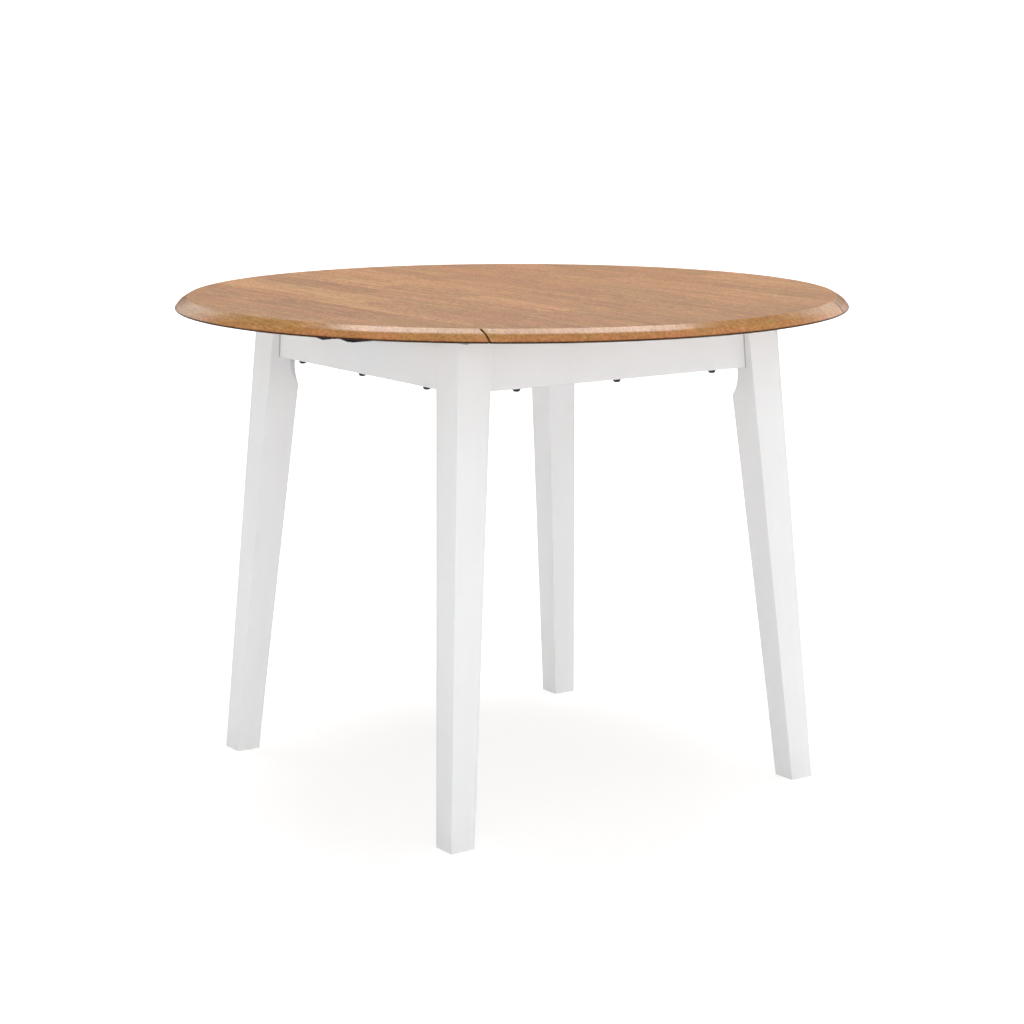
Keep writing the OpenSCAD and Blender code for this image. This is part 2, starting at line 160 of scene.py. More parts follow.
# %% Graph helper
class Graph:
    """Node tree that is wired one call at a time."""

    def __init__(self, tree):
        self.tree = tree

    def node(self, kind, inputs=None, **settings):
        """Adds a node, sets its options, and feeds its inputs with values or sockets."""
        made = self.tree.nodes.new(kind)
        for key, value in settings.items():
            setattr(made, key, value)
        for key, value in (inputs or {}).items():
            self.feed(made.inputs[key], value)
        return made

    def feed(self, socket, value):
        """Links a socket to an input, or sets the input to a plain value."""
        if isinstance(value, bpy.types.NodeSocket):
            self.tree.links.new(value, socket)
        else:
            socket.default_value = value

    def math(self, operation, *values):
        """One Math node: operation is its name, such as ADD or MULTIPLY."""
        return self.node("ShaderNodeMath", dict(enumerate(values)), operation=operation).outputs[0]

    def vector(self, operation, *values, output="Vector"):
        """One Vector Math node. LENGTH and DOT_PRODUCT give their number at output Value."""
        return self.node("ShaderNodeVectorMath", dict(enumerate(values)), operation=operation).outputs[output]

    def hypot(self, first, second):
        """The root of the sum of two squares, which is a distance from two of its parts."""
        squares = [self.math("MULTIPLY", part, part) for part in (first, second)]
        return self.math("SQRT", self.math("ADD", *squares))

    def split(self, vector):
        """The three parts of a vector."""
        return self.node("ShaderNodeSeparateXYZ", {"Vector": vector}).outputs

    def noise(self, vector, scale, detail=2.0, roughness=0.5):
        """Smooth noise from 0 to 1, with its scale given for each axis in cycles per metre."""
        made = self.node("ShaderNodeTexNoise", {"Vector": self.vector("MULTIPLY", vector, scale),
                                                "Scale": 1.0, "Detail": detail, "Roughness": roughness})
        return made.outputs["Fac"]

    def ramp(self, value, stops, interpolation="LINEAR"):
        """Colour for a value: stops is a list of (place from 0 to 1, red, green, blue)."""
        made = self.node("ShaderNodeValToRGB", {"Fac": value})
        made.color_ramp.interpolation = interpolation
        while len(made.color_ramp.elements) < len(stops):
            made.color_ramp.elements.new(1.0)
        for element, stop in zip(made.color_ramp.elements, stops):
            element.position = stop[0]
            element.color = (*stop[1:], 1.0)
        return made.outputs["Color"]

    def span(self, value, low, high, to_low=0.0, to_high=1.0):
        """Maps low..high onto to_low..to_high, smoothly, and holds the ends."""
        made = self.node("ShaderNodeMapRange", {"Value": value, "From Min": low, "From Max": high,
                                                "To Min": to_low, "To Max": to_high})
        made.interpolation_type = "SMOOTHSTEP"
        return made.outputs["Result"]

    def mix(self, share, first, second, blend="MIX"):
        """Mixes two colours: share 0 gives the first, and 1 the second blended with it.
        A Mix node has sockets for numbers and vectors first, so its colours are 6 and 7."""
        made = self.node("ShaderNodeMix", data_type="RGBA", blend_type=blend)
        self.feed(made.inputs["Factor"], share)
        self.feed(made.inputs[6], first)
        self.feed(made.inputs[7], second)
        return made.outputs[2]


# %% Finish helper
class Finish(Graph):
    """A material's graph: shader is its Principled node, place and normal its object coordinates."""

    def __init__(self, name):
        self.material = bpy.data.materials.new(name)
        self.material.use_nodes = True
        super().__init__(self.material.node_tree)
        self.shader = self.tree.nodes["Principled BSDF"]
        coordinates = self.node("ShaderNodeTexCoord").outputs
        self.place = coordinates["Object"]
        self.normal = coordinates["Normal"]

    def shade(self, name, value):
        """Feeds one of the shader's own sockets."""
        self.feed(self.shader.inputs[name], value)

    def bump(self, height, depth, strength=1.0):
        """Feeds the shader a normal bent by height, where 1 stands for depth metres."""
        made = self.node("ShaderNodeBump", {"Height": height, "Distance": depth, "Strength": strength})
        self.shade("Normal", made.outputs["Normal"])


def dress(node, finish):
    """Gives a measured solid its finish in place of its plain one."""
    target = frame["nodes"][node]
    for slot in target.material_slots:
        slot.material = finish
    if not target.material_slots:
        target.data.materials.append(finish)


# %% [markdown]
# ## Oak, glued up from staves
# Each panel is glued from short oak staves, planed flush and oiled. Their long edges share
# a few straight lines along Y, and each row is cut at its own places, so neighbours differ
# a little in tone. A brick texture would be quicker, but it repeats one pattern. A list of
# rows, each with where its boards start and how light they are, gives the layout exactly,
# and one constant colour ramp per row carries it to the shader.

# %% Rows of staves
# Each row: its left edge in X, then (start in Y, lightness from -1 to 1) of its boards.
ROW_START = -0.60
ROW_LENGTH = 1.2
STAVE_ROWS = [
    (-0.530, [(-0.60, 0.10), (0.05, -0.20)]),
    (-0.470, [(-0.60, 0.15), (-0.15, -0.10), (0.20, -0.45)]),
    (-0.400, [(-0.60, 0.00), (-0.20, -0.50), (0.12, -0.25)]),
    (-0.325, [(-0.60, 0.20), (-0.35, 0.90), (0.06, 0.45), (0.46, 0.20)]),
    (-0.295, [(-0.60, -0.15), (-0.205, 0.10), (0.00, 0.70), (0.44, 0.10)]),
    (-0.217, [(-0.60, -0.10), (-0.22, 0.10), (0.12, -0.90), (0.42, -0.30)]),
    (-0.155, [(-0.60, 0.00), (-0.10, 0.10), (0.20, 0.20)]),
    (-0.125, [(-0.60, 0.00), (-0.28, 1.00), (-0.025, -0.10), (0.20, 0.40)]),
    (-0.065, [(-0.60, 0.00), (-0.02, 0.75), (0.26, 0.30)]),
    (0.005, [(-0.60, 0.10), (-0.28, -0.80), (-0.03, -0.20), (0.30, 0.10)]),
    (0.030, [(-0.60, 0.00), (-0.10, -0.10), (0.24, -0.60)]),
    (0.060, [(-0.60, -0.05), (-0.15, -0.45), (0.30, -0.10)]),
    (0.120, [(-0.60, 0.05), (-0.30, -0.15), (0.10, -0.40)]),
    (0.185, [(-0.60, -0.10), (-0.35, 0.15), (0.00, 0.10), (0.25, -0.40)]),
    (0.250, [(-0.60, 0.60), (-0.20, 0.30), (0.10, -0.30), (0.30, 0.00)]),
    (0.325, [(-0.60, -0.70), (-0.10, -0.20), (0.25, -0.50)]),
    (0.350, [(-0.60, -0.10), (0.00, -0.40)]),
    (0.400, [(-0.60, 0.20), (-0.20, 0.70), (0.05, -0.30)]),
    (0.470, [(-0.60, 0.10), (-0.05, 0.30)]),
]
chance = np.random.default_rng(7)
print(len(STAVE_ROWS), "rows,", sum(len(boards) for _, boards in STAVE_ROWS), "boards")

# %% Board under each point
oak = Finish("oiled_oak_staves")
oak_x, oak_y, oak_z = oak.split(oak.place)


def row_ramp(along, boards):
    """Red is a board's lightness and green a number of its own, held along the board."""
    stops = [(start - ROW_START) / ROW_LENGTH for start, _ in boards]
    tones = [(tone + 1.0) / 2.0 for _, tone in boards]
    marks = chance.random(len(boards))
    return oak.ramp(along, [(s, t, float(m), 0.0) for s, t, m in zip(stops, tones, marks)], "CONSTANT")


along = oak.math("DIVIDE", oak.math("SUBTRACT", oak_y, ROW_START), ROW_LENGTH)
board = row_ramp(along, STAVE_ROWS[0][1])
nearest_edge = oak.math("ABSOLUTE", oak.math("SUBTRACT", oak_x, STAVE_ROWS[0][0]))
for left_edge, boards in STAVE_ROWS[1:]:
    past = oak.math("SUBTRACT", oak_x, left_edge)
    board = oak.mix(oak.math("GREATER_THAN", past, 0.0), board, row_ramp(along, boards))
    nearest_edge = oak.math("MINIMUM", nearest_edge, oak.math("ABSOLUTE", past))
tone, mark, _ = oak.node("ShaderNodeSeparateColor", {"Color": board}).outputs
print("board graph has", len(oak.tree.nodes), "nodes")

# %% [markdown]
# ## Grain
# Wood is a bundle of fibres along the board, laid down in rings. Noise stretched along Y
# gives fibres, bands, streaks and pores, and shorter noise gives the flecks and dapple that
# break them up. A wave texture could draw stripes, but they wouldn't meet at a board's end.
# So the rings are circles round a heart line somewhere beside each board: a slice along it
# shows long stripes and its end shows arcs, from one formula. A board's own number moves it
# to another part of every noise, so no two boards are alike.

# %% Grain noises
# Each noise: cycles per metre in X, Y and Z, then its detail and its roughness.
GRAIN = {
    "fibre": ((430.0, 15.0, 430.0), 3.0, 0.65),
    "band": ((165.0, 7.0, 165.0), 2.0, 0.60),
    "streak": ((55.0, 2.6, 55.0), 2.0, 0.50),
    "fleck": ((330.0, 160.0, 330.0), 1.0, 0.60),
    "dapple": ((165.0, 60.0, 165.0), 1.0, 0.50),
    "cast": ((24.0, 2.0, 24.0), 2.0, 0.50),
    "pore": ((1300.0, 48.0, 1300.0), 1.0, 0.50),
    "wander": ((7.0, 1.6, 7.0), 1.0, 0.50),
}
BOARD_SHIFT = (3.1, 17.0, 5.3)
PORE_SHARE = (0.60, 0.74)
spot = oak.vector("ADD", oak.place, oak.vector("MULTIPLY", mark, BOARD_SHIFT))
grain = {name: oak.noise(spot, *settings) for name, settings in GRAIN.items()}
pore = oak.span(grain["pore"], *PORE_SHARE)
print(", ".join(GRAIN), "are in the grain")

# %% Rings
HEART_SPREAD = 0.26
HEART_DEPTH = 0.05
HEART_WANDER = 0.030
RINGS_PER_METRE = 330.0
RING_SHIFT = 90.0
wander = oak.math("MULTIPLY", grain["wander"], HEART_WANDER)
heart_x = oak.math("ADD", oak.math("MULTIPLY_ADD", mark, HEART_SPREAD, -HEART_SPREAD / 2),
                   oak.math("ADD", oak_x, wander))
heart_z = oak.math("SUBTRACT", oak_z, TOP_HEIGHT - HEART_DEPTH)
ring_place = oak.math("MULTIPLY_ADD", oak.hypot(heart_x, heart_z), RINGS_PER_METRE,
                      oak.math("MULTIPLY", mark, RING_SHIFT))
grain["ring"] = oak.node("ShaderNodeTexNoise", {"W": ring_place, "Scale": 1.0, "Detail": 1.0},
                         noise_dimensions="1D").outputs["Fac"]
print("grain graph has", len(oak.tree.nodes), "nodes")

# %% [markdown]
# ## Where the oak darkens
# Painted shade darkens the oak along the lower lip of the rim, where the round under it lies
# in shade, and in the notches where the seams cut the rim, where the gap is in shade. It
# could be painted on by hand, but a mask follows when a size changes. Each is smooth and
# comes from a distance: to the lip, by height and by radius, and to a seam, by X. Faces that
# look along Y are made lighter, which is painted light. The bevel is painted a little darker,
# which is painted shade, the nose takes a redder tone, and how level a face lies tells which is which.

# %% Painted shade on the lip and in the seams
LIP_HEIGHT = 0.0041
LIP_CORE = 0.0016
LIP_REACH = (0.0070, 0.0035)
SEAM_SHADE_HALF = 0.0017
SEAM_SHADE_CORE = 0.45
SEAM_SHADE_REACH = (0.022, 0.017)
SEAM_SHADE_DEPTH = (0.0002, 0.0015)
oak_radius = oak.hypot(oak_x, oak_y)


def near_rim(start, full):
    """None at start metres in from the rim, and full at full metres in."""
    return oak.span(oak_radius, TOP_RADIUS - start, TOP_RADIUS - full)


# Painted shade: the lower lip of the rim is darkened, in place of the shade under the rim.
lip = oak.math("MULTIPLY", oak.span(oak_z, UNDER_HEIGHT + LIP_HEIGHT, UNDER_HEIGHT + LIP_CORE),
               near_rim(*LIP_REACH))
# Painted shade in the notches where the seams cut the rim: a dark band either side of each seam.
seam_middle = (PANEL_HALF_WIDTH + LEAF_START) / 2
off_seam = oak.math("ABSOLUTE", oak.math("SUBTRACT", oak.math("ABSOLUTE", oak_x), seam_middle))
on_rim = oak.math("MULTIPLY", oak.span(oak_z, *[TOP_HEIGHT - depth for depth in SEAM_SHADE_DEPTH]),
                  near_rim(*SEAM_SHADE_REACH))
seam_shade = oak.math("MULTIPLY", oak.span(off_seam, SEAM_SHADE_HALF, SEAM_SHADE_HALF * SEAM_SHADE_CORE), on_rim)
print("painted seam shade", SEAM_SHADE_HALF, "either side of", round(seam_middle, 5))

# %% Which part of the moulding a face is on
FLAT_LEVEL = (0.90, 0.99)
BEVEL_RISE = (0.60, 0.76)
BEVEL_FALL = (0.92, 0.99)
NOSE_LEVEL = (0.66, 0.58)
ALONG_Y_LEVEL = (0.35, 0.95)
side_x, side_y, side_z = oak.split(oak.normal)
level = oak.math("ABSOLUTE", side_z)
bevelled = oak.math("MULTIPLY", oak.span(level, *BEVEL_RISE), oak.span(level, *BEVEL_FALL, 1.0, 0.0))
on_nose = oak.span(level, *NOSE_LEVEL)
lit_along_y = oak.span(oak.math("ABSOLUTE", side_y), *ALONG_Y_LEVEL)


def rim_to_flat(at_rim, at_flat):
    """A value that runs from the rim's to the flat face's as the face turns level."""
    return oak.span(level, *FLAT_LEVEL, at_rim, at_flat)


print("mask graph has", len(oak.tree.nodes), "nodes")

# %% [markdown]
# ## Oak colour and shine
# All the noises are added up into one figure, each with its own weight, and the figure
# picks a colour between dark and light wood. Weights are easier to judge than colours: a
# glance says whether the fibres or the flecks are too strong. A slow cast makes some places
# greener and others redder. The rim's tints, which paint shade on the bevel, the painted shade
# on the lip and in the seams, and the glue lines multiply that colour. Faces along Y get
# painted light. The rim was sanded finer than the flat, so it shines more sharply.

# %% Oak colour
WOOD_DARK = (0.235, 0.098, 0.038)
WOOD_MIDDLE = (0.400, 0.181, 0.0635)
WOOD_LIGHT = (0.572, 0.302, 0.122)
FIGURE_WEIGHTS = {"fibre": 1.20, "band": 0.95, "streak": 0.48, "ring": 0.28, "fleck": 1.40, "dapple": 0.60}
PORE_WEIGHT = -0.12
TONE_WEIGHT = 0.38
ALONG_Y_LIGHT = 0.05
RIM_FIGURE = 0.62
CAST = [(0.35, 1.04, 0.97, 1.03), (0.65, 0.96, 1.03, 0.97)]
figure = oak.math("MULTIPLY", pore, PORE_WEIGHT)
for name, weight in FIGURE_WEIGHTS.items():
    figure = oak.math("ADD", figure, oak.math("MULTIPLY_ADD", grain[name], weight, -0.5 * weight))
board_shade = oak.math("MULTIPLY_ADD", tone, TONE_WEIGHT, 0.5 - TONE_WEIGHT / 2)
shade = oak.math("MULTIPLY_ADD", figure, rim_to_flat(RIM_FIGURE, 1.0), board_shade)
# Painted light: faces that look along Y are made lighter.
shade = oak.math("ADD", shade, oak.math("MULTIPLY", lit_along_y, ALONG_Y_LIGHT))
wood = oak.ramp(shade, [(0.0, *WOOD_DARK), (0.5, *WOOD_MIDDLE), (1.0, *WOOD_LIGHT)])
print("figure of", len(FIGURE_WEIGHTS), "noises and pores")

# %% Oak tints
NO_TINT = (1.0, 1.0, 1.0, 1.0)
BEVEL_SHADE_TINT = (0.90, 0.935, 0.88, 1.0)
NOSE_TINT = (1.03, 0.955, 1.05, 1.0)
GLUE_LINE = 0.00022
GLUE_SHADE = 0.80
LIP_SHADE = 0.12
SEAM_SHADE_LEVEL = 0.24
tints = [oak.ramp(grain["cast"], CAST),
         oak.span(nearest_edge, GLUE_LINE, GLUE_LINE * 3.0, GLUE_SHADE, 1.0),
         # Painted shade under the rim: the lip is darkened towards LIP_SHADE.
         oak.span(lip, 0.0, 1.0, 1.0, LIP_SHADE),
         # Painted shade in the seam notches.
         oak.span(seam_shade, 0.0, 1.0, 1.0, SEAM_SHADE_LEVEL),
         # Painted shade: the bevel's colour is darkened, and turned a little yellower.
         oak.mix(bevelled, NO_TINT, BEVEL_SHADE_TINT),
         oak.mix(on_nose, NO_TINT, NOSE_TINT)]
for tint in tints:
    wood = oak.mix(1.0, wood, tint, "MULTIPLY")
oak.shade("Base Color", wood)
print(len(tints), "tints on the oak")

# %% Oak shine
FACE_ROUGHNESS = 0.43
RIM_ROUGHNESS = 0.18
FIBRE_ROUGHNESS = 0.12
GLOSS = 0.5
BEVEL_GLOSS = -0.05
SHADE_GLOSS = 0.2
RIM_BUMP = 0.8
PORE_BUMP = 0.8
FIBRE_DEPTH = 0.00005
roughness = oak.math("MULTIPLY_ADD", grain["fibre"], FIBRE_ROUGHNESS,
                     rim_to_flat(RIM_ROUGHNESS, FACE_ROUGHNESS))
oak.shade("Roughness", roughness)
# Gloss is lowered where the painted shade lies, on the lip and in the seams.
shade_gloss = oak.span(oak.math("MAXIMUM", lip, seam_shade), 0.0, 1.0, 1.0, SHADE_GLOSS)
gloss = oak.math("MULTIPLY", oak.math("MULTIPLY_ADD", bevelled, BEVEL_GLOSS, GLOSS), shade_gloss)
oak.shade("Specular IOR Level", gloss)
fibre_height = oak.math("SUBTRACT", grain["fibre"], oak.math("MULTIPLY", pore, PORE_BUMP))
oak.bump(fibre_height, FIBRE_DEPTH, rim_to_flat(RIM_BUMP, 1.0))
print("oak graph has", len(oak.tree.nodes), "nodes")

# %% [markdown]
# ## White paint
# The legs and aprons are sprayed with satin white paint. One plain colour would look like
# plastic: real paint drifts in tone by a percent or so over a hand's width, the wood's long
# grain prints through it as a faint ripple, and the spray leaves an orange-peel skin. Three
# noises of those sizes make them. Where an apron butts against a leg, a thin dark line is
# painted as the shadow in the joint. The joint is the leg's inner plane, which leans,
# so its place in X or Y is worked out from the height.

# %% White paint
PAINT_GREYER = (0.806, 0.812, 0.816)
PAINT_WHITER = (0.840, 0.846, 0.851)
PAINT_ROUGHNESS = 0.36
PEEL_ROUGHNESS = 0.10
PEEL_DEPTH = 0.00004
RIPPLE_BUMP = 0.6
DRIFT_SHARE = 0.8
RIPPLE_SHARE = 0.2
paint = Finish("satin_white_paint")
drift = paint.noise(paint.place, (9.0, 9.0, 4.0), 2.0, 0.5)
ripple = paint.noise(paint.place, (260.0, 260.0, 8.0), 2.0, 0.5)
peel = paint.noise(paint.place, (900.0, 900.0, 900.0), 1.0, 0.5)
unevenness = paint.math("ADD", paint.math("MULTIPLY", drift, DRIFT_SHARE),
                        paint.math("MULTIPLY", ripple, RIPPLE_SHARE))
white = paint.ramp(unevenness, [(0.3, *PAINT_GREYER), (0.7, *PAINT_WHITER)])
paint.shade("Roughness", paint.math("MULTIPLY_ADD", peel, PEEL_ROUGHNESS, PAINT_ROUGHNESS))
paint.bump(paint.math("ADD", paint.math("MULTIPLY", ripple, RIPPLE_BUMP), peel), PEEL_DEPTH)
print("paint runs from", PAINT_GREYER, "to", PAINT_WHITER)

# %% Painted shadow line between aprons and legs
JOINT_HALF = (0.0003, 0.0017)
JOINT_BACK = (0.0005, 0.0020)
JOINT_STRENGTH = 0.55
JOINT_SHADOW_GREY = (0.20, 0.20, 0.20, 1.0)
paint_x, paint_y, paint_z = paint.split(paint.place)
size_x, size_y = [paint.math("ABSOLUTE", part) for part in (paint_x, paint_y)]
joint = paint.math("MULTIPLY_ADD", paint_z, (HEAD_IN - FOOT_IN) / UNDER_HEIGHT, FOOT_IN)
off_joint = paint.math("ABSOLUTE", paint.math("SUBTRACT", paint.math("MINIMUM", size_x, size_y), joint))
behind_leg = paint.span(paint.math("MAXIMUM", size_x, size_y), *[APRON_OUT + out for out in JOINT_BACK],
                        1.0, 0.0)
# Painted shadow: a grey line along the joint, beside the leg and above the apron's lower edge.
line = paint.math("MULTIPLY", paint.span(off_joint, *JOINT_HALF, JOINT_STRENGTH, 0.0), behind_leg)
line = paint.math("MULTIPLY", line, paint.math("GREATER_THAN", paint_z, APRON_LOW))
paint.shade("Base Color", paint.mix(line, white, JOINT_SHADOW_GREY))
print("paint graph has", len(paint.tree.nodes), "nodes")

# %% [markdown]
# ## Metals
# The brackets and hinges are zinc plated, which has a soft mottle and dull patches. The
# leaf supports are black powder coat, with a fine grit. The bolts that hold the top are
# blackened steel, rubbed a little bright, and the inserts that they run into are brass.
# They differ only in colour, gloss and the sizes of mottle and grit, so one function that
# takes those numbers makes all four.

# %% Metal finishes
PATCH_ROUGHNESS = 0.2


def metal(name, dark, light, rough, mottle, grit, depth, metallic=1.0, gloss=0.5):
    """Metal whose colour runs from dark to light over patches of mottle cycles per metre."""
    made = Finish(name)
    patch = made.noise(made.place, (mottle, mottle, mottle), 3.0, 0.6)
    skin = made.noise(made.place, (grit, grit, grit), 1.0, 0.5)
    made.shade("Base Color", made.ramp(patch, [(0.3, *dark), (0.7, *light)]))
    made.shade("Roughness", made.math("MULTIPLY_ADD", patch, PATCH_ROUGHNESS, rough - PATCH_ROUGHNESS / 2))
    made.shade("Metallic", metallic)
    made.shade("Specular IOR Level", gloss)
    made.bump(skin, depth)
    return made.material


zinc = metal("zinc_plate", (0.42, 0.43, 0.43), (0.62, 0.62, 0.60),
             rough=0.38, mottle=60.0, grit=1500.0, depth=0.00003)
black_coat = metal("black_powder_coat", (0.005, 0.005, 0.006), (0.011, 0.011, 0.012),
                   rough=0.52, mottle=90.0, grit=1800.0, depth=0.00005, metallic=0.0, gloss=0.2)
dark_steel = metal("blackened_steel", (0.018, 0.018, 0.019), (0.045, 0.045, 0.047),
                   rough=0.34, mottle=220.0, grit=2500.0, depth=0.00002, metallic=0.0)
brass = metal("turned_brass", (0.50, 0.34, 0.13), (0.66, 0.47, 0.20),
              rough=0.30, mottle=120.0, grit=1500.0, depth=0.00002)

# %% Dress the measured solids
SLOT_FINISH = {"zinc_steel": zinc, "black_steel": black_coat, "dark_bolts": dark_steel, "brass": brass,
               "oiled_oak": oak.material, "white_paint": paint.material}
for subpart in frame["record"]["subparts"]:
    dress(subpart["node"], SLOT_FINISH[subpart["material_slot"]])
print(len(frame["nodes"]), "solids dressed")

# %% [markdown]
# ## Surfaces from grids
# Stock boxes and cylinders could be cut and bent into these pieces, but a surface that is
# worked out follows the measured sizes and has even faces. Each one is a grid of points,
# computed for all points at once from two parameters. Four neighbouring points make a face.
# Points that fall together are merged, the faces are turned outwards, and edges sharper
# than a set angle stay crisp.

# %% Grid helpers
def grid_faces(rows, columns, wrap=False, first=0):
    """Quads over points numbered row by row from first; wrap joins the last row to row 0."""
    index = first + np.arange(rows * columns).reshape(rows, columns)
    if wrap:
        index = np.vstack([index, index[:1]])
    corners = [index[:-1, :-1], index[:-1, 1:], index[1:, 1:], index[1:, :-1]]
    return np.stack(corners, axis=-1).reshape(-1, 4).tolist()


def tube_faces(rows, columns, first=0):
    """Quads round a tube whose last row meets its first, and one face over each open end."""
    near_end = first + np.arange(rows) * columns
    far_end = near_end + columns - 1
    return grid_faces(rows, columns, wrap=True, first=first) + [near_end.tolist(), far_end.tolist()]


def turned(points, degrees):
    """The points turned about the upright axis, anticlockwise as seen from above."""
    turned_x, turned_y = direction(degrees), direction(degrees + 90.0)
    return np.asarray(points) @ np.stack([turned_x, turned_y, [0.0, 0.0, 1.0]])


# %% Piece helpers
def close_mesh(mesh, apart=1e-6):
    """Merges points closer than apart and turns the faces outwards."""
    work = bmesh.new()
    work.from_mesh(mesh)
    bmesh.ops.remove_doubles(work, verts=work.verts, dist=apart)
    bmesh.ops.dissolve_degenerate(work, edges=work.edges, dist=apart)
    bmesh.ops.recalc_face_normals(work, faces=work.faces)
    open_edges = sum(1 for edge in work.edges if len(edge.link_faces) != 2)
    work.to_mesh(mesh)
    work.free()
    if open_edges:
        print("open edges:", open_edges)


def make_piece(name, points, faces, finish, body, slot, replaced, crisp=40.0):
    """Builds the mesh, closes and orients it, and ties the piece to its body and its solid."""
    mesh = bpy.data.meshes.new(name)
    mesh.from_pydata(np.asarray(points).tolist(), [], faces)
    bpy.context.view_layer.update()
    piece = bpy.data.objects.new(name, mesh)
    scene.collection.objects.link(piece)
    close_mesh(mesh)
    mesh.shade_smooth()
    mesh.set_sharp_from_angle(angle=math.radians(crisp))
    mesh.materials.append(finish)
    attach(piece, body)
    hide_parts(replaced)
    print(name, len(mesh.vertices), "points,", len(mesh.polygons), "faces")


# %% [markdown]
# ## The moulded edge
# A cutter shapes the rim: a shallow bevel runs out and down from the flat, a steeper nose
# runs on from its foot, and a small round goes under. A Bevel modifier would round every
# bend alike. Here the sharp outline is sampled finely and averaged over about a millimetre,
# which is what sandpaper does to it, and the bend between bevel and nose is worn rounder
# first, as hands and cloths do. At the end, points are picked so that they crowd where the
# outline bends and thin out where it is straight.

# %% Edge outline
BEVEL_START = TOP_RADIUS - 0.019
BEVEL_END = TOP_RADIUS - 0.007
BEVEL_DROP = 0.0075
UNDER_ROUND = 0.002
FOOT_BLEND = 0.0034
FLAT_MARGIN = 0.02
BLEND_POINTS = 30
ROUND_POINTS = 60


def nose_outline():
    """Bevel line, a blend at its foot, then a straight nose that touches the round under it.
    The blend is a parabola: (1 - t)^2 before + 2 t (1 - t) foot + t^2 after."""
    start = np.array([BEVEL_START, TOP_HEIGHT])
    foot = np.array([BEVEL_END, TOP_HEIGHT - BEVEL_DROP])
    centre = np.array([TOP_RADIUS - UNDER_ROUND, UNDER_HEIGHT + UNDER_ROUND])
    apart = foot - centre
    touch = math.atan2(apart[1], apart[0]) - math.acos(UNDER_ROUND / np.linalg.norm(apart))
    under = np.linspace(touch, -math.pi / 2, ROUND_POINTS)
    round_under = centre + UNDER_ROUND * np.stack([np.cos(under), np.sin(under)], axis=1)
    before = foot + (start - foot) * FOOT_BLEND / np.linalg.norm(start - foot)
    after = foot + (round_under[0] - foot) * FOOT_BLEND / np.linalg.norm(round_under[0] - foot)
    t = np.linspace(0.0, 1.0, BLEND_POINTS)[:, None]
    blend = (1.0 - t) ** 2 * before + 2.0 * t * (1.0 - t) * foot + t ** 2 * after
    flat = [[BEVEL_START - FLAT_MARGIN, TOP_HEIGHT], [BEVEL_START, TOP_HEIGHT]]
    return np.vstack([flat, blend, round_under, [[BEVEL_START - FLAT_MARGIN, UNDER_HEIGHT]]]).T


# %% Sanded outline
SANDING = 0.0012
OUTLINE_STEP = 0.0001
OUTLINE_POINTS = 72
STRAIGHT_EFFORT = 0.004


def sanded(radius, height):
    """The outline at even steps, each point the mean of its neighbours within SANDING.
    Points are then spaced evenly in effort, which grows with the turn at each step."""
    length = np.r_[0.0, np.cumsum(np.hypot(np.diff(radius), np.diff(height)))]
    even = np.arange(0.0, length[-1], OUTLINE_STEP)
    window = np.ones(int(SANDING / OUTLINE_STEP))
    window /= window.sum()
    fine = [np.convolve(np.interp(even, length, part), window, "valid") for part in (radius, height)]
    turn = np.abs(np.gradient(np.unwrap(np.arctan2(np.gradient(fine[1]), np.gradient(fine[0])))))
    effort = np.r_[0.0, np.cumsum(turn[1:] + STRAIGHT_EFFORT)]
    picks = np.interp(np.linspace(0.0, effort[-1], OUTLINE_POINTS), effort, np.arange(len(effort)))
    return [np.interp(picks, np.arange(len(part)), part) for part in fine]


edge_radius, edge_height = sanded(*nose_outline())
slope = np.arctan2(np.gradient(edge_height), np.gradient(edge_radius))
edge_out, edge_up = -np.sin(slope), np.cos(slope)
print("edge outline of", len(edge_radius), "points, widest", round(edge_radius.max(), 5))

# %% [markdown]
# ## Panels of the top
# A disc cut in three would be simplest, but such cuts leave thin slivers that shade badly.
# Here all three panels share the rim outline. The centre panel is that outline carried across
# the table: at each place x, a loop runs round the section whose half length is the
# square root of r squared minus x squared. A leaf is a stack of arcs, one for each radius,
# that all end on the seam. The saw cut at the seam has its edges eased, barely on the
# flat and well rounded at the rim, where a sharp corner would snag.

# %% Seam easing
FLAT_EASE = 0.00020
RIM_EASE = 0.0018
EASE_LEAD = 0.002
EASE_FADE = 0.006
EASE_STEPS = 5
rim_share = np.clip((edge_radius - BEVEL_START + EASE_LEAD) / EASE_FADE, 0.0, 1.0)
edge_ease = FLAT_EASE + (RIM_EASE - FLAT_EASE) * rim_share ** 2 * (3.0 - 2.0 * rim_share)
print("cut eased by", round(edge_ease.min(), 5), "to", round(edge_ease.max(), 5))


def eased_cap(loop, ease, inward, outward, first, base):
    """Rings that round a flat end, then the end itself. The loop lies RIM_EASE short of the end.
    Ring a lies RIM_EASE - ease (1 - sin a) beyond it and ease (1 - cos a) inside its outline."""
    ease = ease[:, None]
    rings = [loop + outward * (RIM_EASE - ease * (1.0 - math.sin(a))) + inward * ease * (1.0 - math.cos(a))
             for a in np.linspace(0.0, math.pi / 2, EASE_STEPS + 1)]
    rings.append(rings[-1] + inward * FLAT_EASE)
    count = len(loop)
    around = np.r_[np.arange(count), 0]
    strips = [np.r_[base, base[0]]] + [first + count * k + around for k in range(len(rings))]
    faces = [np.stack([a[:-1], a[1:], b[1:], b[:-1]], axis=-1) for a, b in zip(strips, strips[1:])]
    return np.vstack(rings), np.vstack(faces).tolist() + [strips[-1][:-1].tolist()]


